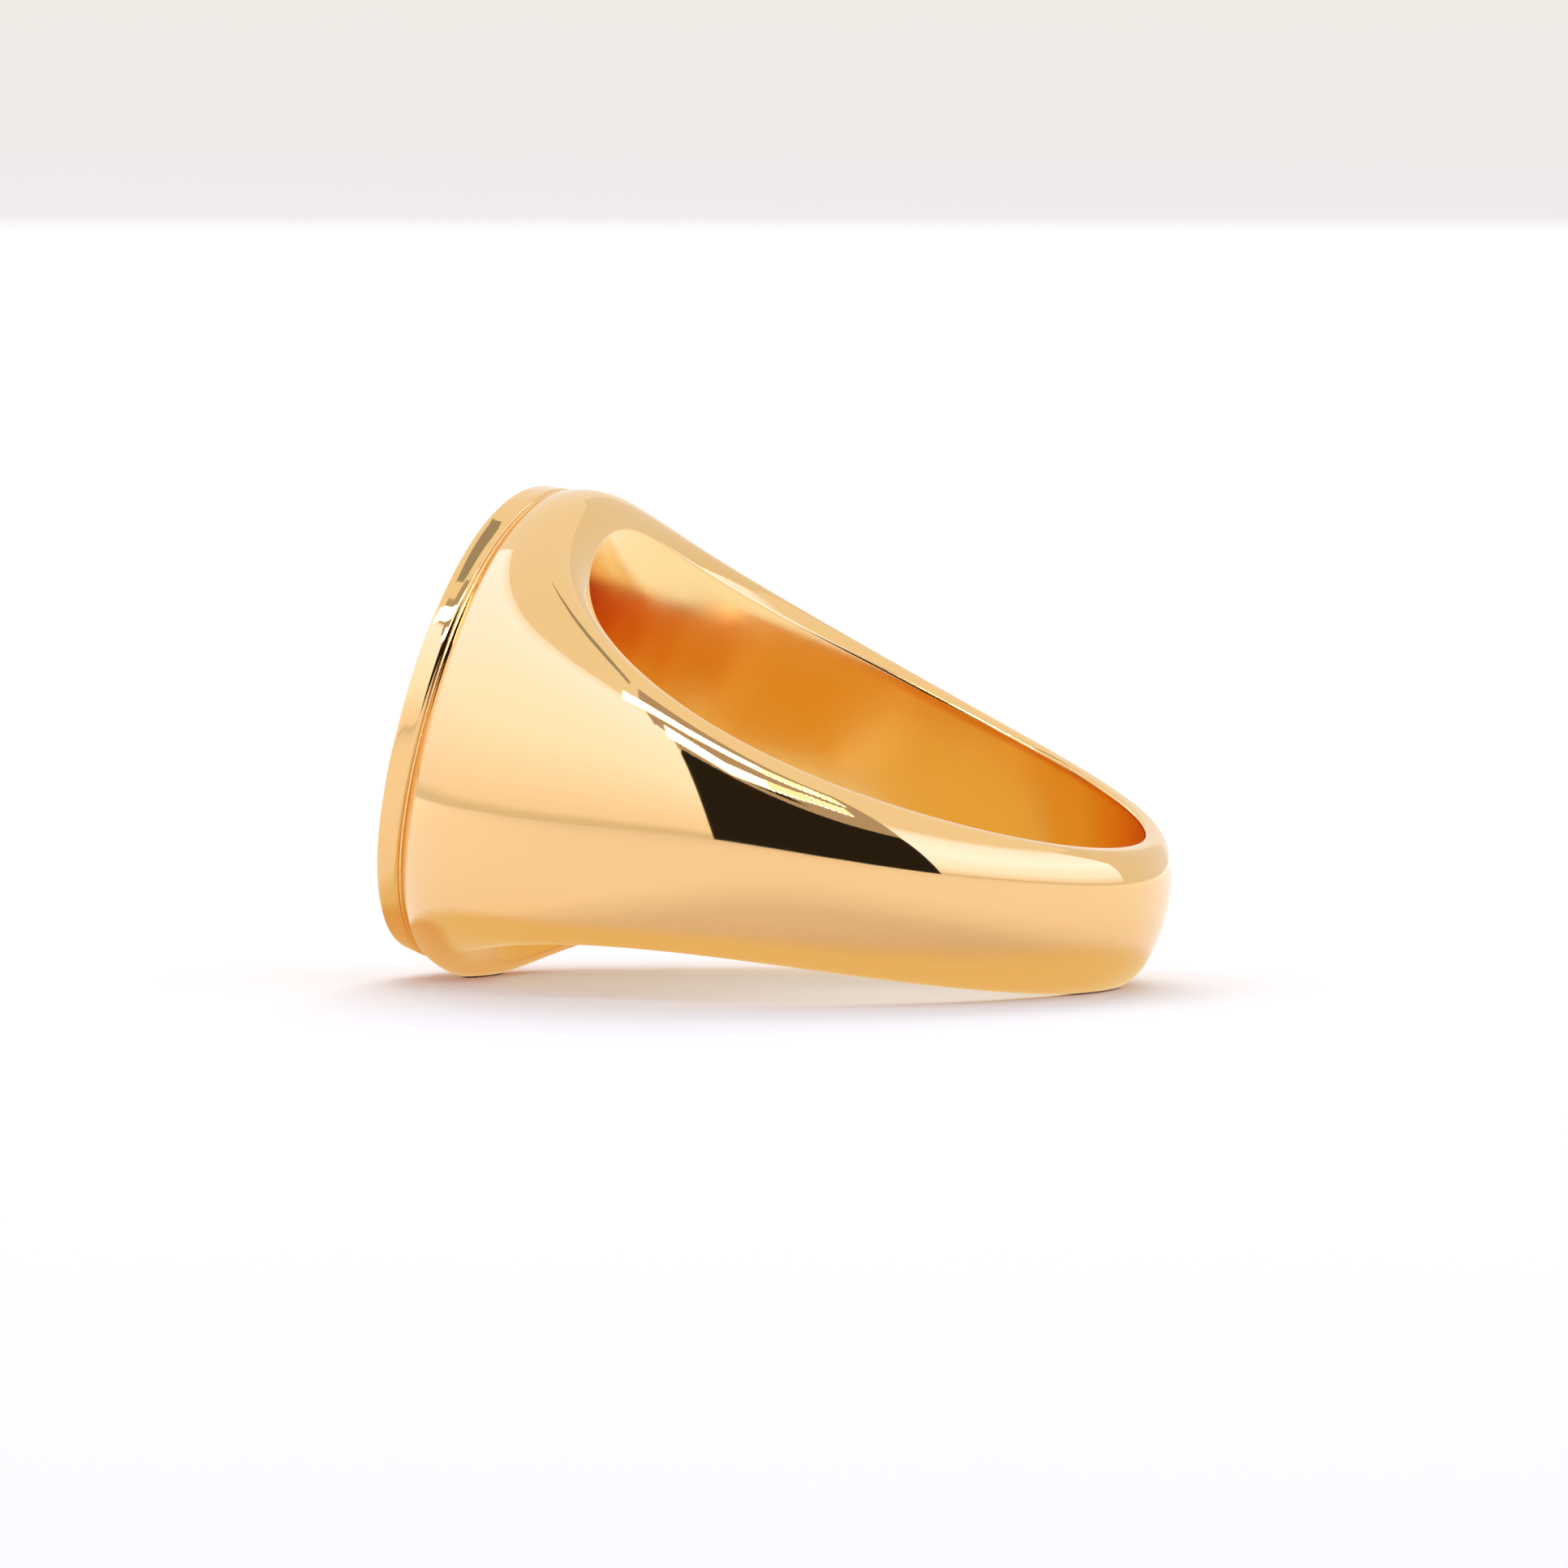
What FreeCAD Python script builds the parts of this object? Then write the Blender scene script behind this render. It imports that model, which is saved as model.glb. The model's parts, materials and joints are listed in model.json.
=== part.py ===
"""Polished signet ring: one cast body, a thin rounded face plate and the solder that joins them.

The ring lies on its side on the plane Z = 0, the way it rests when it is set down. The face looks
towards -X and a little up, the part is mirror-symmetric about the plane Y = 0, and it touches the
floor with the lower corner of its head and the lower edge of the back of its band.

The pieces are drawn upright first, with X from the finger hole towards the face, Y across the band
and Z along the finger, and laid down at the end.
"""
import FreeCAD
import Part
import math
import os

# Finger hole
BORE_R = 9.5
# Half width of the body along the finger: width at the back, then what is added towards the head
# as a plain taper, as the shoulders' sweep and as the flare under the plate
BACK_X = -10.93
WIDEST_X = 10.75
BACK_WIDTH = 2.27
TAPER = 1.53
SWEEP = 3.35
SWEEP_POWER = 3.0
FLARE = 0.82
FLARE_POWER = 18.0
# Where each cross-section is widest, measured outwards from the hole's wall
WIDEST_BACK = 0.30
WIDEST_HEAD = 1.30
# How far the rim of the hole lies below that widest point
RIM_DROP_BACK = 0.04
RIM_DROP_HEAD = 0.86
# Outer surface: radius at the back, at the side and, before the seat is cut, at the head
CREST_BACK = 10.80
CREST_SIDE = 10.90
CREST_HEAD = 14.75
# Seat for the plate, the solder on it, and the plate itself, whose wall leans in by the draft
SEAT_X = 11.83
SOLDER_T = 0.05
PLATE_T = 0.86
PLATE_HALF_Y = 6.57
PLATE_HALF_Z = 7.79
PLATE_DRAFT = 0.10
PLATE_FULL = 2.16
PLATE_EDGE_R = 0.15
# Rounding of the finger hole's rims
RIM_R = 0.18
# Sampling of the body's surface
SECTIONS = 60
POINTS = 28


def superellipse(angle, half_x, half_y, fullness):
    """Point of a rounded oval; fullness 2 is an ellipse."""
    c = math.cos(angle)
    s = math.sin(angle)
    power = 2.0 / fullness
    x = math.copysign(abs(c) ** power, c) * half_x
    y = math.copysign(abs(s) ** power, s) * half_y
    return x, y


def half_width(x):
    """Half width of the body along the finger, at the distance x towards the face."""
    t = (x - BACK_X) / (WIDEST_X - BACK_X)
    return BACK_WIDTH + TAPER * t + SWEEP * t ** SWEEP_POWER + FLARE * t ** FLARE_POWER


def crest_radius(theta):
    """Outermost radius round the finger; theta is 0 at the middle of the head."""
    c = math.cos(theta)
    t = 0.5 * (1.0 + c)
    along = CREST_BACK + (CREST_HEAD - CREST_BACK) * t * t * (3.0 - 2.0 * t)
    return 1.0 / math.hypot(c / along, math.sin(theta) / CREST_SIDE)


def section_curve(theta, count=720):
    """Closed cross-section at theta as (radius, z) points, from the inner apex round.

    It is two half ellipses that meet where the section is widest.
    """
    t = (0.5 * (1.0 + math.cos(theta))) ** 3
    widest = BORE_R + WIDEST_BACK + (WIDEST_HEAD - WIDEST_BACK) * t
    width = half_width(widest * math.cos(theta))
    drop = RIM_DROP_BACK + (RIM_DROP_HEAD - RIM_DROP_BACK) * t
    inner = (widest - BORE_R) / math.sqrt(1.0 - (1.0 - drop / width) ** 2)
    outer = crest_radius(theta) - widest
    points = []
    for k in range(count):
        angle = math.pi + 2.0 * math.pi * k / count
        reach = outer if math.cos(angle) > 0 else inner
        points.append((widest + reach * math.cos(angle), width * math.sin(angle)))
    return points


def even_points(curve, count):
    """Points at equal steps of length along a closed curve."""
    steps = [0.0]
    for k in range(len(curve)):
        a = curve[k]
        b = curve[(k + 1) % len(curve)]
        steps.append(steps[-1] + math.hypot(b[0] - a[0], b[1] - a[1]))
    result = []
    k = 0
    for j in range(count):
        want = steps[-1] * j / count
        while steps[k + 1] < want:
            k += 1
        f = (want - steps[k]) / (steps[k + 1] - steps[k])
        a = curve[k]
        b = curve[(k + 1) % len(curve)]
        result.append((a[0] + f * (b[0] - a[0]), a[1] + f * (b[1] - a[1])))
    return result


def ring_poles(values):
    """Poles of the closed uniform cubic spline that passes through the values."""
    poles = [FreeCAD.Vector(v) for v in values]
    n = len(values)
    for _ in range(60):
        fitted = [(poles[i - 1] + poles[i] * 4.0 + poles[(i + 1) % n]) / 6.0 for i in range(n)]
        poles = [poles[i] + (values[i] - fitted[i]) for i in range(n)]
    return poles


def body_surface():
    """Closed smooth surface of the body, before the hole and the seat are cut."""
    grid = []
    for i in range(SECTIONS):
        theta = math.pi + 2.0 * math.pi * i / SECTIONS
        row = []
        for radius, z in even_points(section_curve(theta), POINTS):
            row.append(FreeCAD.Vector(radius * math.cos(theta), radius * math.sin(theta), z))
        grid.append(ring_poles(row))
    columns = [ring_poles([grid[i][j] for i in range(SECTIONS)]) for j in range(POINTS)]
    poles = [[columns[j][i] for j in range(POINTS)] for i in range(SECTIONS)]
    # Turned back one place, so that the first pole row and column belong to the first knots
    poles = [row[-1:] + row[:-1] for row in poles[-1:] + poles[:-1]]
    surface = Part.BSplineSurface()
    surface.buildFromPolesMultsKnots(
        poles,
        [1] * (SECTIONS + 1),
        [1] * (POINTS + 1),
        [float(k) for k in range(SECTIONS + 1)],
        [float(k) for k in range(POINTS + 1)],
        True,
        True,
        3,
        3,
    )
    return surface


def rim_edges(shape):
    """Edges where the finger hole meets the side faces."""
    edges = []
    for edge in shape.Edges:
        points = edge.discretize(9)
        on_wall = all(abs(math.hypot(p.x, p.y) - BORE_R) < 0.01 for p in points)
        if on_wall and max(abs(p.z) for p in points) > 1.0 and edge.Length > 1.0:
            straight = max(abs(points[0].x - p.x) for p in points) < 0.01
            if not straight:
                edges.append(edge)
    return edges


def make_body():
    """Band, shoulders and head as one casting with the finger hole and the plate's seat."""
    solid = Part.Solid(Part.Shell([body_surface().toShape()]))
    if solid.Volume < 0:
        solid.reverse()
    hole = Part.makeCylinder(BORE_R, 40, FreeCAD.Vector(0, 0, -20))
    above_seat = Part.makeBox(20, 60, 60, FreeCAD.Vector(SEAT_X, -30, -30))
    body = solid.cut(hole).cut(above_seat)
    return body.makeFillet(RIM_R, rim_edges(body))


def oval_wire(x, half_y, half_z, fullness, count=72):
    """Closed smooth oval in the plane at x."""
    points = []
    fine = [superellipse(2.0 * math.pi * k / 1440, half_y, half_z, fullness) for k in range(1440)]
    for y, z in even_points(fine, count):
        points.append(FreeCAD.Vector(x, y, z))
    curve = Part.BSplineCurve()
    curve.interpolate(Points=points, PeriodicFlag=True)
    return Part.Wire([curve.toShape()])


def make_plate():
    """Rounded face plate that just overhangs the head; its wall leans in towards the face."""
    foot_x = SEAT_X + SOLDER_T
    face_y = PLATE_HALF_Y - PLATE_DRAFT
    face_z = PLATE_HALF_Z - PLATE_DRAFT
    foot = oval_wire(foot_x, PLATE_HALF_Y, PLATE_HALF_Z, PLATE_FULL)
    face = oval_wire(foot_x + PLATE_T, face_y, face_z, PLATE_FULL)
    plate = Part.makeLoft([foot, face], True, True)
    rims = [e for e in plate.Edges if e.BoundBox.XLength < 0.01]
    return plate.makeFillet(PLATE_EDGE_R, rims)


def make_solder(body):
    """Thin layer of solder that fills the seat between the head and the plate's underside."""
    seat = max((f for f in body.Faces if abs(f.CenterOfMass.x - SEAT_X) < 0.01), key=lambda f: f.Area)
    return seat.extrude(FreeCAD.Vector(SOLDER_T, 0, 0))


def lowest(points, tilt, head):
    """Lowest height of the head's or the back's points when the ring leans by the tilt angle."""
    s = math.sin(tilt)
    c = math.cos(tilt)
    return min(p.x * s + p.z * c for p in points if (p.x > 0) == head)


def rest_tilt(points):
    """Lean at which the head's corner and the back's edge touch one level floor."""
    low = 0.0
    high = math.radians(40)
    for _ in range(40):
        tilt = 0.5 * (low + high)
        if lowest(points, tilt, True) < lowest(points, tilt, False):
            low = tilt
        else:
            high = tilt
    return tilt


def lay_down(shapes):
    """Turn the upright pieces onto their side and stand them centred on Z = 0."""
    points = [p for shape in shapes for p in shape.tessellate(0.01)[0]]
    tilt = rest_tilt(points)
    s = math.sin(tilt)
    c = math.cos(tilt)
    turn = FreeCAD.Matrix(-c, 0, s, 0, 0, -1, 0, 0, s, 0, c, 0, 0, 0, 0, 1)
    across = [p.z * s - p.x * c for p in points]
    floor = min(p.x * s + p.z * c for p in points)
    shift = FreeCAD.Vector(-0.5 * (min(across) + max(across)), 0, -floor)
    laid = [shape.transformed(turn) for shape in shapes]
    for shape in laid:
        shape.translate(shift)
    return laid, tilt, shift


def main():
    body = make_body()
    plate = make_plate()
    solder = make_solder(body)
    names = ["body", "face_plate", "solder_layer"]
    laid, tilt, shift = lay_down([body, plate, solder])
    os.makedirs("parts", exist_ok=True)
    for name, shape in zip(names, laid):
        shape.exportStep("parts/" + name + ".step")
        box = shape.BoundBox
        print(name, shape.ShapeType, len(shape.Solids), shape.isValid(), round(shape.Volume, 2), box)
    print("tilt", math.degrees(tilt), "hole centre", shift)


main()
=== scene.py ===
"""Looks of the polished signet ring: fine meshes on the CAD shapes, gold materials and a studio."""
import bpy
import json
import math
from mathutils import Matrix, Vector


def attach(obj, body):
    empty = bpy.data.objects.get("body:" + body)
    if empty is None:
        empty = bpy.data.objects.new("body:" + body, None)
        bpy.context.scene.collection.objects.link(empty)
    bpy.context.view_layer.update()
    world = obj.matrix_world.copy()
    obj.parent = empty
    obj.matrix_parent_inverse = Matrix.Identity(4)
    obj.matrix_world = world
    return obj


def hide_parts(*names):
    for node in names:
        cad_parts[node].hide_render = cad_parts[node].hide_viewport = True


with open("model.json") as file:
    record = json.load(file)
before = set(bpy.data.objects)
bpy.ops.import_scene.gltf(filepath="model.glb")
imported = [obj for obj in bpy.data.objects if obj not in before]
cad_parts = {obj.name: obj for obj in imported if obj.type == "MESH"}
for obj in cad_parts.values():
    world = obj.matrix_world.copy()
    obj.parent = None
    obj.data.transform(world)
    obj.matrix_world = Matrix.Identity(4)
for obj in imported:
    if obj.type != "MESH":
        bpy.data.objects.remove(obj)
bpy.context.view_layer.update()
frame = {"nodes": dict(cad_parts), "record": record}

MM = 0.001

# The ring's own dimensions in millimetres, as in the CAD
BORE_R = 9.5
BACK_X = -10.93
WIDEST_X = 10.75
BACK_WIDTH = 2.27
TAPER = 1.53
SWEEP = 3.35
SWEEP_POWER = 3.0
FLARE = 0.82
FLARE_POWER = 18.0
WIDEST_BACK = 0.30
WIDEST_HEAD = 1.30
RIM_DROP_BACK = 0.04
RIM_DROP_HEAD = 0.86
CREST_BACK = 10.80
CREST_SIDE = 10.90
CREST_HEAD = 14.75
SEAT_X = 11.83
SOLDER_T = 0.05
PLATE_T = 0.86
PLATE_HALF_Y = 6.57
PLATE_HALF_Z = 7.79
PLATE_DRAFT = 0.10
PLATE_FULL = 2.16
PLATE_EDGE_R = 0.15
RIM_R = 0.18

# Fineness of the meshes
SEAT_SECTIONS = 60
BAND_SECTIONS = 200
WALL_STEPS = 12
RIM_STEPS = 6
SIDE_STEPS = 110
PLATE_STEPS = 480
PLATE_EDGE_STEPS = 6
OVAL_STEPS = 96

# Polished gold outside, a satin wall in the finger hole, and paler solder; linear colours
GOLD = (0.900, 0.580, 0.248)
WALL_GOLD = (0.945, 0.690, 0.300)
SOLDER_GOLD = (0.950, 0.700, 0.340)
FLOOR_COLOR = (0.870, 0.823, 0.780)

# View: height and turn of the line of sight, and the width of the picture at the ring
ELEVATION = math.radians(3.166)
YAW = math.radians(22.803)
DISTANCE = 0.600
VIEW_WIDTH = 0.049532
SHIFT_X = -0.03249
SHIFT_Y = 0.02988
SENSOR = 36.0
# Light crosses the finger hole many times before it leaves
BOUNCES = 24

# Studio in metres and degrees: the floor, the sphere of cards round the ring with the strip lights
# just inside it, and the key light
FLOOR_SIZE = 12.0
CARD_R = 1.5
STRIP_R = 1.455
STRIP_COLOR = (0.94, 0.97, 1.0)
KEY_SIZE = 0.6
KEY_DISTANCE = 0.9
KEY_ELEVATION = 32

hole = next(m for m in frame["record"]["mounts"] if m["name"] == "finger_hole")
axis = Vector(hole["axis"])
centre = Vector(hole["pos_m"])
lean = math.atan2(axis.x, axis.z)
# From the upright ring, drawn with X to the face and Z along the finger, to the ring as it lies
LAID = Matrix.Translation(centre) @ Matrix((
    (-math.cos(lean), 0, math.sin(lean), 0),
    (0, -1, 0, 0),
    (math.sin(lean), 0, math.cos(lean), 0),
    (0, 0, 0, 1),
))


# ---------------------------------------------------------------- shapes


def superellipse(angle, half_x, half_y, fullness):
    """Point of a rounded oval; fullness 2 is an ellipse."""
    c = math.cos(angle)
    s = math.sin(angle)
    power = 2.0 / fullness
    return math.copysign(abs(c) ** power, c) * half_x, math.copysign(abs(s) ** power, s) * half_y


def half_width(x):
    """Half width of the body along the finger, at the distance x towards the face."""
    t = (x - BACK_X) / (WIDEST_X - BACK_X)
    return BACK_WIDTH + TAPER * t + SWEEP * t ** SWEEP_POWER + FLARE * t ** FLARE_POWER


def crest_radius(theta):
    """Outermost radius round the finger; theta is 0 at the middle of the head."""
    c = math.cos(theta)
    t = 0.5 * (1.0 + c)
    along = CREST_BACK + (CREST_HEAD - CREST_BACK) * t * t * (3.0 - 2.0 * t)
    return 1.0 / math.hypot(c / along, math.sin(theta) / CREST_SIDE)


def section_shape(theta):
    """Widest radius, half width, inner reach and outer reach of one cross-section."""
    t = (0.5 * (1.0 + math.cos(theta))) ** 3
    widest = BORE_R + WIDEST_BACK + (WIDEST_HEAD - WIDEST_BACK) * t
    width = half_width(widest * math.cos(theta))
    drop = RIM_DROP_BACK + (RIM_DROP_HEAD - RIM_DROP_BACK) * t
    inner = (widest - BORE_R) / math.sqrt(1.0 - (1.0 - drop / width) ** 2)
    outer = crest_radius(theta) - widest
    return widest, width, inner, outer


def resample(points, count):
    """The same open path with evenly spaced points."""
    steps = [0.0]
    for a, b in zip(points, points[1:]):
        steps.append(steps[-1] + math.dist(a, b))
    result = []
    k = 0
    for j in range(count):
        want = steps[-1] * j / (count - 1)
        while k < len(points) - 2 and steps[k + 1] < want:
            k += 1
        f = (want - steps[k]) / max(steps[k + 1] - steps[k], 1e-12)
        result.append(tuple(a + f * (b - a) for a, b in zip(points[k], points[k + 1])))
    return result


def side_path(theta):
    """From the rim of the hole over the widest point to the crest, or to the seat's edge."""
    widest, width, inner, outer = section_shape(theta)
    c = math.cos(theta)
    start = math.acos(-(widest - BORE_R) / inner)
    path = []
    for k in range(401):
        a = start + (math.pi / 2 - start) * k / 400
        path.append((widest + inner * math.cos(a), width * math.sin(a)))
    for k in range(1, 801):
        a = math.pi / 2 * (1 - k / 800)
        r = widest + outer * math.cos(a)
        z = width * math.sin(a)
        if r * c > SEAT_X:
            r0, z0 = path[-1]
            f = (SEAT_X / c - r0) / (r - r0)
            path.append((SEAT_X / c, z0 + f * (z - z0)))
            break
        path.append((r, z))
    return path


def half_section(theta):
    """Upper half of a section: the wall of the hole, the rounded rim, and the side to the crest."""
    path = side_path(theta)
    corner = path[0]
    slope = math.atan2(path[8][1] - corner[1], path[8][0] - corner[0])
    turn = math.pi / 2 - slope
    reach = RIM_R * math.tan(turn / 2)
    foot = corner[1] - reach
    rim = []
    for k in range(RIM_STEPS + 1):
        a = turn * k / RIM_STEPS
        rim.append((BORE_R + RIM_R * (1 - math.cos(a)), foot + RIM_R * math.sin(a)))
    beyond = [p for p in path if math.dist(p, corner) > reach]
    wall = [(BORE_R, foot * k / WALL_STEPS) for k in range(WALL_STEPS)]
    return wall + rim[:-1] + resample([rim[-1]] + beyond, SIDE_STEPS)


def section_angles():
    """Angles round the finger; closer together where the seat's outline turns."""
    last, past = 0.0, 1.2
    for _ in range(60):
        mid = 0.5 * (last + past)
        if crest_radius(mid) * math.cos(mid) > SEAT_X:
            last = mid
        else:
            past = mid
    half = []
    for k in range(SEAT_SECTIONS):
        half.append(math.atan(math.tan(last) * math.sin(math.pi / 2 * k / SEAT_SECTIONS)))
    for k in range(BAND_SECTIONS + 1):
        half.append(last + 1e-7 + (math.pi - last) * k / BAND_SECTIONS)
    return half + [-a for a in reversed(half[1:-1])]


def mesh_object(name, verts, faces):
    """Smooth mesh of the laid-down ring; a corner that dips below the floor is levelled to it."""
    points = [LAID @ (Vector(v) * MM) for v in verts]
    for point in points:
        point.z = max(point.z, 0.0)
    mesh = bpy.data.meshes.new(name)
    mesh.from_pydata(points, [], faces)
    mesh.validate()
    mesh.update()
    mesh.shade_smooth()
    obj = bpy.data.objects.new(name, mesh)
    bpy.context.scene.collection.objects.link(obj)
    return obj


def seat_faces(angles, index, m):
    """Flat seat between the two cut edges, in strips."""
    n = len(angles)
    cut = [i for i in range(n) if index[(i, m - 1, 1)] != index[(i, m - 1, -1)]]
    order = sorted(cut, key=lambda i: (angles[i] + math.pi) % (2 * math.pi))
    chain = [(order[0] - 1) % n] + order + [(order[-1] + 1) % n]
    faces = []
    for a, b in zip(chain, chain[1:]):
        quad = [index[(a, m - 1, 1)], index[(b, m - 1, 1)], index[(b, m - 1, -1)], index[(a, m - 1, -1)]]
        quad = [v for v, w in zip(quad, quad[-1:] + quad[:-1]) if v != w]
        if len(quad) > 2:
            faces.append(quad)
    return faces


def build_body():
    """Band, shoulders and head; the wall of the hole has the second material."""
    angles = section_angles()
    halves = [half_section(a) for a in angles]
    n = len(angles)
    m = len(halves[0])
    verts, faces, wall = [], [], []
    index = {}
    for i, a in enumerate(angles):
        for j, (r, z) in enumerate(halves[i]):
            closed = j == 0 or (j == m - 1 and z < 1e-4)
            if closed:
                z = 0.0
            index[(i, j, 1)] = len(verts)
            verts.append((r * math.cos(a), r * math.sin(a), z))
            index[(i, j, -1)] = index[(i, j, 1)]
            if not closed:
                index[(i, j, -1)] = len(verts)
                verts.append((r * math.cos(a), r * math.sin(a), -z))
    for i in range(n):
        k = (i + 1) % n
        for j in range(m - 1):
            if j < WALL_STEPS:
                wall += [len(faces), len(faces) + 1]
            faces.append([index[(i, j, 1)], index[(k, j, 1)], index[(k, j + 1, 1)], index[(i, j + 1, 1)]])
            faces.append([index[(i, j, -1)], index[(i, j + 1, -1)], index[(k, j + 1, -1)], index[(k, j, -1)]])
    obj = mesh_object("gold_body", verts, faces + seat_faces(angles, index, m))
    for k in wall:
        obj.data.polygons[k].material_index = 1
    return obj


def plate_profile(low, high):
    """Wall of the plate from its underside to its face, as (x, outset), with two rounded edges."""
    r = PLATE_EDGE_R
    turns = [math.pi / 2 * k / PLATE_EDGE_STEPS for k in range(1, PLATE_EDGE_STEPS + 1)]
    profile = [(low, -r)]
    profile += [(low + r * (1 - math.cos(t)), -r * (1 - math.sin(t))) for t in turns]
    profile += [(low + PLATE_T * k / 8, 0.0) for k in range(3, 6)]
    profile += [(high - r * (1 - math.cos(t)), -r * (1 - math.sin(t))) for t in reversed(turns)]
    profile.append((high, -r))
    return profile


def build_plate():
    """Rounded face plate with a wall that leans in towards the face."""
    count = PLATE_STEPS
    low = SEAT_X + SOLDER_T
    high = low + PLATE_T
    fine = [superellipse(2 * math.pi * k / 4000, PLATE_HALF_Y, PLATE_HALF_Z, PLATE_FULL) for k in range(4001)]
    ring = resample(fine, count + 1)[:-1]
    normals = []
    for k in range(count):
        a = ring[k - 1]
        b = ring[(k + 1) % count]
        t = Vector((b[0] - a[0], b[1] - a[1])).normalized()
        normals.append((t.y, -t.x))
    profile = plate_profile(low, high)
    m = len(profile)
    verts, faces = [], []
    for x, outset in profile:
        outset -= PLATE_DRAFT * (x - low) / PLATE_T
        verts += [(x, y + ny * outset, z + nz * outset) for (y, z), (ny, nz) in zip(ring, normals)]
    for j in range(m - 1):
        for k in range(count):
            after = (k + 1) % count
            faces.append([j * count + k, j * count + after, (j + 1) * count + after, (j + 1) * count + k])
    # Flat underside and face, as rings that shrink to the middle
    for row, x, inset, flip in (
        (0, low, PLATE_EDGE_R, True),
        (m - 1, high, PLATE_EDGE_R + PLATE_DRAFT, False),
    ):
        previous = [row * count + k for k in range(count)]
        for scale in (0.8, 0.5, 0.2):
            new = [len(verts) + k for k in range(count)]
            for (y, z), (ny, nz) in zip(ring, normals):
                verts.append((x, (y - ny * inset) * scale, (z - nz * inset) * scale))
            for k in range(count):
                after = (k + 1) % count
                quad = [previous[k], previous[after], new[after], new[k]]
                faces.append(quad[::-1] if flip else quad)
            previous = new
        verts.append((x, 0, 0))
        for k in range(count):
            tri = [previous[k], previous[(k + 1) % count], len(verts) - 1]
            faces.append(tri[::-1] if flip else tri)
    return mesh_object("gold_plate", verts, faces)


# ---------------------------------------------------------------- materials


def new_material(name):
    """Empty node material and its output."""
    material = bpy.data.materials.new(name)
    material.use_nodes = True
    tree = material.node_tree
    tree.nodes.clear()
    return material, tree, tree.nodes.new("ShaderNodeOutputMaterial")


def add(tree, kind, **values):
    """New node with some of its inputs set; an underscore in a name stands for a space."""
    node = tree.nodes.new(kind)
    for name, value in values.items():
        node.inputs[name.replace("_", " ")].default_value = value
    return node


def gold(name, color, roughness, ripple):
    """Polished gold: a metal with the faint unevenness that hand polishing leaves."""
    material, tree, out = new_material(name)
    link = tree.links.new
    bsdf = add(tree, "ShaderNodeBsdfPrincipled", Metallic=1.0)
    coord = add(tree, "ShaderNodeTexCoord")
    # A very slight drift of tone
    tone = add(tree, "ShaderNodeTexNoise", Scale=90.0, Detail=2.0)
    ramp = add(tree, "ShaderNodeValToRGB")
    low, high = ramp.color_ramp.elements
    low.position = 0.35
    low.color = tuple(c * 0.985 for c in color) + (1,)
    high.position = 0.65
    high.color = tuple(color) + (1,)
    link(coord.outputs["Object"], tone.inputs["Vector"])
    link(tone.outputs["Fac"], ramp.inputs["Fac"])
    link(ramp.outputs["Color"], bsdf.inputs["Base Color"])
    # Uneven polish
    polish = add(tree, "ShaderNodeTexNoise", Scale=700.0)
    spread = add(tree, "ShaderNodeMapRange", To_Min=roughness * 0.7, To_Max=roughness * 1.3)
    link(coord.outputs["Object"], polish.inputs["Vector"])
    link(polish.outputs["Fac"], spread.inputs["Value"])
    link(spread.outputs["Result"], bsdf.inputs["Roughness"])
    # Soft waves, a few micrometres deep
    wave = add(tree, "ShaderNodeTexNoise", Scale=450.0, Detail=1.0)
    bump = add(tree, "ShaderNodeBump", Strength=1.0, Distance=ripple)
    link(coord.outputs["Object"], wave.inputs["Vector"])
    link(wave.outputs["Fac"], bump.inputs["Height"])
    link(bump.outputs["Normal"], bsdf.inputs["Normal"])
    link(bsdf.outputs["BSDF"], out.inputs["Surface"])
    return material


def matt(name, color):
    """Plain matt surface."""
    material, tree, out = new_material(name)
    bsdf = add(tree, "ShaderNodeBsdfPrincipled", Base_Color=color + (1,), Roughness=0.9)
    bsdf.inputs["Specular IOR Level"].default_value = 0.0
    tree.links.new(bsdf.outputs["BSDF"], out.inputs["Surface"])
    return material


def glow(name, color, strength):
    """Even light."""
    material, tree, out = new_material(name)
    light = add(tree, "ShaderNodeEmission", Color=color + (1,), Strength=strength)
    tree.links.new(light.outputs["Emission"], out.inputs["Surface"])
    return material


def graded_glow(name, stops):
    """Light that changes with height; stops are (place, r, g, b) from the bottom up."""
    material, tree, out = new_material(name)
    link = tree.links.new
    light = add(tree, "ShaderNodeEmission")
    coord = add(tree, "ShaderNodeTexCoord")
    split = add(tree, "ShaderNodeSeparateXYZ")
    ramp = add(tree, "ShaderNodeValToRGB")
    while len(ramp.color_ramp.elements) < len(stops):
        ramp.color_ramp.elements.new(0.5)
    for element, (place, r, g, b) in zip(ramp.color_ramp.elements, stops):
        element.position = place
        element.color = (r, g, b, 1)
    link(coord.outputs["Generated"], split.inputs["Vector"])
    link(split.outputs["Z"], ramp.inputs["Fac"])
    link(ramp.outputs["Color"], light.inputs["Color"])
    link(light.outputs["Emission"], out.inputs["Surface"])
    return material


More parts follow.
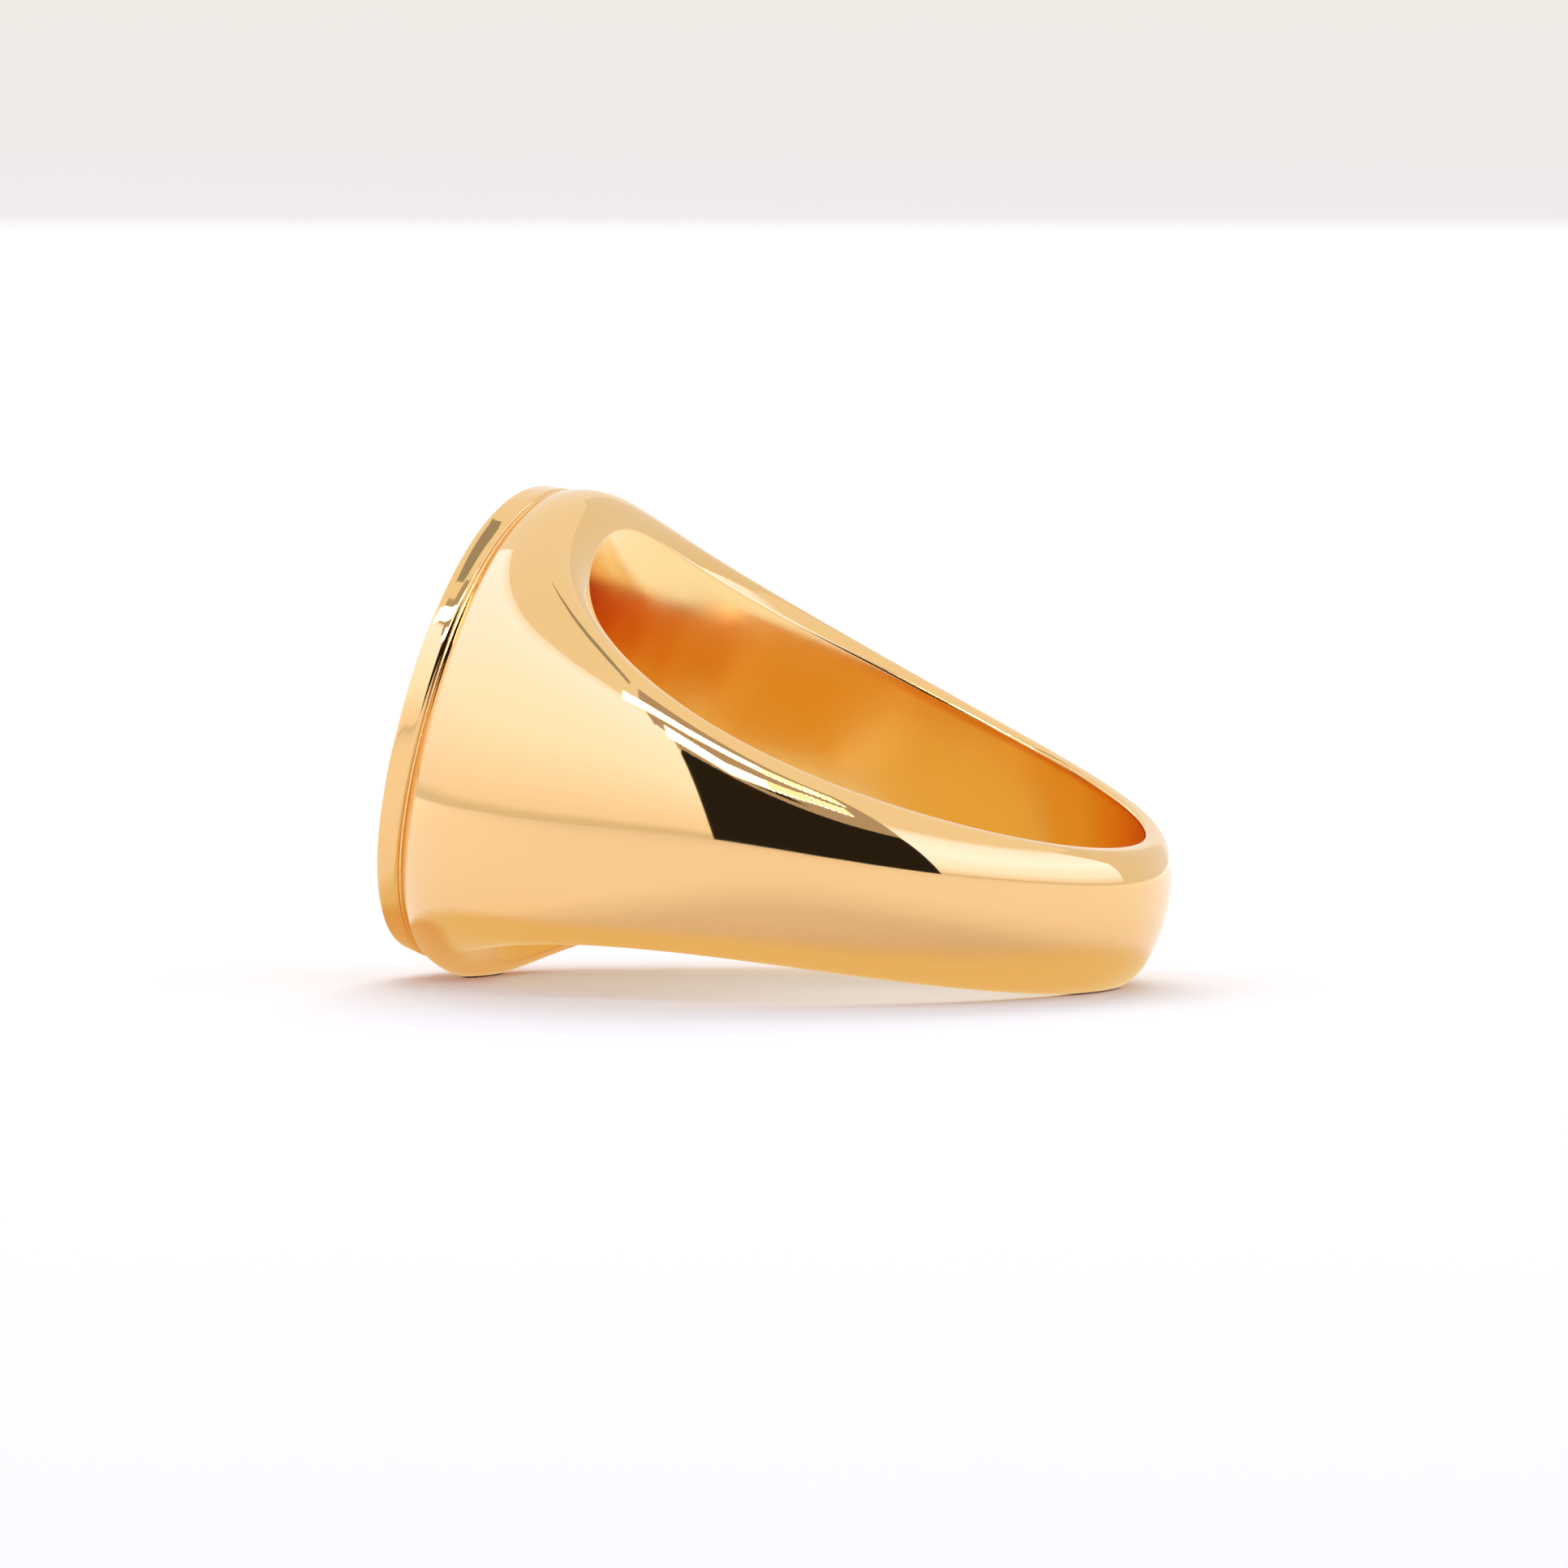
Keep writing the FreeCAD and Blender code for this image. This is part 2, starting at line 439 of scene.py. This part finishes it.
def faded_glow(name, color):
    """Even light that fades out softly towards the edge of a round piece."""
    material, tree, out = new_material(name)
    link = tree.links.new
    light = add(tree, "ShaderNodeEmission", Color=color + (1,))
    clear = add(tree, "ShaderNodeBsdfTransparent")
    blend = add(tree, "ShaderNodeMixShader")
    coord = add(tree, "ShaderNodeTexCoord")
    place = add(tree, "ShaderNodeMapping", Location=(-1, -1, 0), Scale=(2, 2, 0))
    length = add(tree, "ShaderNodeVectorMath")
    length.operation = "LENGTH"
    edge = add(tree, "ShaderNodeMapRange", From_Min=1.0, From_Max=0.84)
    edge.interpolation_type = "SMOOTHSTEP"
    link(coord.outputs["Generated"], place.inputs["Vector"])
    link(place.outputs["Vector"], length.inputs[0])
    link(length.outputs["Value"], edge.inputs["Value"])
    link(edge.outputs["Result"], blend.inputs["Fac"])
    link(clear.outputs["BSDF"], blend.inputs[1])
    link(light.outputs["Emission"], blend.inputs[2])
    link(blend.outputs["Shader"], out.inputs["Surface"])
    return material


# ---------------------------------------------------------------- the ring

body = build_body()
body.data.materials.append(gold("polished_gold_body", GOLD, 0.035, 2.0e-6))
body.data.materials.append(gold("satin_gold_wall", WALL_GOLD, 0.12, 1.0e-6))
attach(body, "root")
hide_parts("body")

plate = build_plate()
plate.data.materials.append(gold("polished_gold_plate", GOLD, 0.035, 1.0e-6))
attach(plate, "root")
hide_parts("face_plate")

solder = frame["nodes"]["solder_layer"]
solder.data.materials.clear()
solder.data.materials.append(gold("solder_gold", SOLDER_GOLD, 0.35, 3.0e-6))

# ---------------------------------------------------------------- floor and camera

bpy.ops.mesh.primitive_plane_add(size=FLOOR_SIZE, location=(0, 0, 0))
floor = bpy.context.object
floor.name = "floor"
floor.data.materials.append(matt("floor_white", FLOOR_COLOR))

turned = Matrix.Rotation(YAW, 3, "Z")
forward = turned @ Vector((0, math.cos(ELEVATION), -math.sin(ELEVATION)))
ahead = turned @ Vector((0, 1, 0))
right = turned @ Vector((1, 0, 0))
up = right.cross(forward)
cam_data = bpy.data.cameras.new("camera")
camera = bpy.data.objects.new("camera", cam_data)
bpy.context.scene.collection.objects.link(camera)
stand = centre - forward * DISTANCE
camera.matrix_world = Matrix((
    (right.x, up.x, -forward.x, stand.x),
    (right.y, up.y, -forward.y, stand.y),
    (right.z, up.z, -forward.z, stand.z),
    (0, 0, 0, 1),
))
cam_data.sensor_width = SENSOR
cam_data.lens = SENSOR * DISTANCE / VIEW_WIDTH
cam_data.shift_x = SHIFT_X
cam_data.shift_y = SHIFT_Y
cam_data.clip_start = 0.01
cam_data.clip_end = 50.0
bpy.context.scene.camera = camera
bpy.context.scene.view_settings.view_transform = "Standard"
bpy.context.scene.cycles.max_bounces = BOUNCES
bpy.context.scene.cycles.glossy_bounces = BOUNCES

# ---------------------------------------------------------------- studio
# Cards and strip lights on a wide sphere round the ring, and two glowing discs just above the floor that
# paint the warm shade of the floor near the ring into its lower reflections. The camera sees them only as
# reflections in the gold; most cards also light the floor. Places are given in degrees, as azimuth, which is
# 0 on the camera's side and positive to its right, and elevation.


def towards(azimuth, elevation):
    """Unit vector from the ring."""
    a = math.radians(azimuth)
    e = math.radians(elevation)
    return (right * math.sin(a) - ahead * math.cos(a)) * math.cos(e) + Vector((0, 0, math.sin(e)))


def studio_piece(name, verts, faces, material, lights_floor):
    """Piece of the studio that casts no shadow and that the camera doesn't see directly."""
    mesh = bpy.data.meshes.new(name)
    mesh.from_pydata(verts, [], faces)
    mesh.materials.append(material)
    obj = bpy.data.objects.new(name, mesh)
    bpy.context.scene.collection.objects.link(obj)
    obj.visible_camera = False
    obj.visible_shadow = False
    obj.visible_diffuse = lights_floor
    return obj


def card(name, rows, stops, lights_floor=True, columns=24):
    """Patch of the sphere; rows are (elevation, azimuth from, azimuth to) from the bottom up."""
    verts, faces = [], []
    for elevation, start, end in rows:
        for k in range(columns + 1):
            verts.append(centre + towards(start + (end - start) * k / columns, elevation) * CARD_R)
    row = columns + 1
    for j in range(len(rows) - 1):
        for k in range(columns):
            faces.append([j * row + k, j * row + k + 1, (j + 1) * row + k + 1, (j + 1) * row + k])
    return studio_piece(name, verts, faces, graded_glow(name, stops), lights_floor)


def even(r, g, b):
    """Stops of a card with one brightness."""
    return [(0.0, r, g, b), (1.0, r, g, b)]


def strip(name, paths, half, level):
    """Strip light along (azimuth, elevation) points; several paths make one lamp in pieces."""
    verts, faces = [], []
    for path in paths:
        base = len(verts)
        for azimuth, elevation in path:
            verts.append(centre + towards(azimuth, elevation - half) * STRIP_R)
            verts.append(centre + towards(azimuth, elevation + half) * STRIP_R)
        for k in range(base, len(verts) - 2, 2):
            faces.append([k, k + 2, k + 3, k + 1])
    return studio_piece(name, verts, faces, glow(name, STRIP_COLOR, level), False)


def diodes(path, pitch):
    """Short stretches along the path, one for each diode of the strip light."""
    fine = resample(path, 400)
    count = int(sum(math.dist(a, b) for a, b in zip(path, path[1:])) / pitch)
    return [[fine[int(399 * (k + 0.2) / count)], fine[int(399 * (k + 0.8) / count)]] for k in range(count)]


def painted_shade_disc(name, at, half_x, half_y, height, color):
    """Oval glowing disc just above the floor, not a real reflector: painted shade of the floor near the ring,
    warmed as if by light off the gold, for the lower side of the ring to mirror.
    """
    verts = []
    for k in range(OVAL_STEPS):
        a = 2 * math.pi * k / OVAL_STEPS
        verts.append((half_x * MM * math.cos(a), half_y * MM * math.sin(a), height * MM))
    obj = studio_piece(name, verts, [list(range(OVAL_STEPS))], faded_glow(name, color), False)
    obj.location = Vector((at[0], at[1], 0)) * MM
    return obj


# A thin darker line at the horizon, and above it a bluish soft box that is brightest near its top
HORIZON = [(0.0, 0.80, 0.78, 0.74), (0.07, 0.84, 0.82, 0.78)]
LEFT_GLOW = [(0.10, 1.08, 1.05, 1.08), (0.4, 1.25, 1.36, 1.75), (0.9, 1.3, 1.5, 2.3), (1.0, 1.1, 1.25, 1.6)]
RIGHT_GLOW = [
    (0.10, 1.08, 1.10, 1.25),
    (0.2, 1.2, 1.38, 1.95),
    (0.5, 1.4, 1.62, 2.6),
    (0.85, 1.3, 1.45, 2.2),
    (1.0, 1.0, 1.05, 1.15),
]
card("card_left", [(-2, -150, -41), (10, -150, -44), (22, -150, -47), (37, -145, -50)], HORIZON + LEFT_GLOW)
card("card_right", [(-2, 42, 122), (10, 38, 120), (22, 34, 118), (38, 32, 110)], HORIZON + RIGHT_GLOW)
# The dark room behind the camera, and the dimmer gap round the two strip lights above it
dark_rows = [(-2, -41, 42), (10, -44, 38), (23, -47, 34), (27, -46, 32), (31, -20, 31)]
card("card_front", dark_rows, even(0.022, 0.020, 0.018), lights_floor=False)
card("card_gap", [(25, -52, 33), (40, -58, 32), (57, -58, 30)], even(0.50, 0.46, 0.46))
card("card_tan", [(-1, 119, 162), (18, 118, 162), (36, 116, 162)], even(0.90, 0.88, 0.84))

# Two rows of lamps: they merge on the left and show their single diodes on the right
UPPER = [(-12, 46.7), (12, 50), (24, 49.2)]
LOWER = [(-16, 32.6), (4, 38), (20, 39)]
strip("strip_upper", [[(-64, 37.5), (-40, 42), (-24, 45), (-12, 46.7)]], 3.2, 9.0)
strip("strip_lower", [[(-50, 31), (-30, 29.5), (-16, 32.6)]], 3.0, 9.0)
strip("strip_upper_end", [UPPER], 3.0, 1.8)
strip("strip_lower_end", [LOWER], 2.8, 1.6)
strip("diodes_upper", diodes(UPPER, 2.6), 3.4, 14.0)
strip("diodes_lower", diodes(LOWER, 2.6), 3.2, 14.0)
# Dim bar overhead, mirrored in the wall of the plate
overhead = [(-62, 55.4), (-68, 61.7), (-86, 69.6), (-115, 73.2), (-143, 70.9), (-156, 65.5)]
strip("card_top", [overhead], 2.8, 0.42)
# Painted shade: these discs glow with the dimmed, warm tone of the floor in the ring's shadow, so the
# underside of the band and head mirrors it
painted_shade_disc("painted_floor_shade", (-1.3, 0), 16.2, 13.6, 0.06, (0.90, 0.74, 0.44))
painted_shade_disc("painted_floor_shade_head", (-11.5, 3.5), 5.5, 9.0, 0.09, (0.82, 0.53, 0.23))

# Key light behind the ring, slightly cool; it throws the shadow towards the camera
key = bpy.data.lights.new("key", "AREA")
key.shape = "SQUARE"
key.size = KEY_SIZE
key.energy = 5.2
key.color = (0.86, 0.97, 1.08)
key_object = bpy.data.objects.new("key", key)
bpy.context.scene.collection.objects.link(key_object)
key_object.location = centre + towards(180, KEY_ELEVATION) * KEY_DISTANCE
key_object.rotation_euler = (centre - key_object.location).to_track_quat("-Z", "Y").to_euler()
key_object.visible_glossy = False

world = bpy.data.worlds.new("studio")
bpy.context.scene.world = world
world.use_nodes = True
background = world.node_tree.nodes["Background"]
background.inputs["Color"].default_value = (1, 1, 1, 1)
background.inputs["Strength"].default_value = 1.0
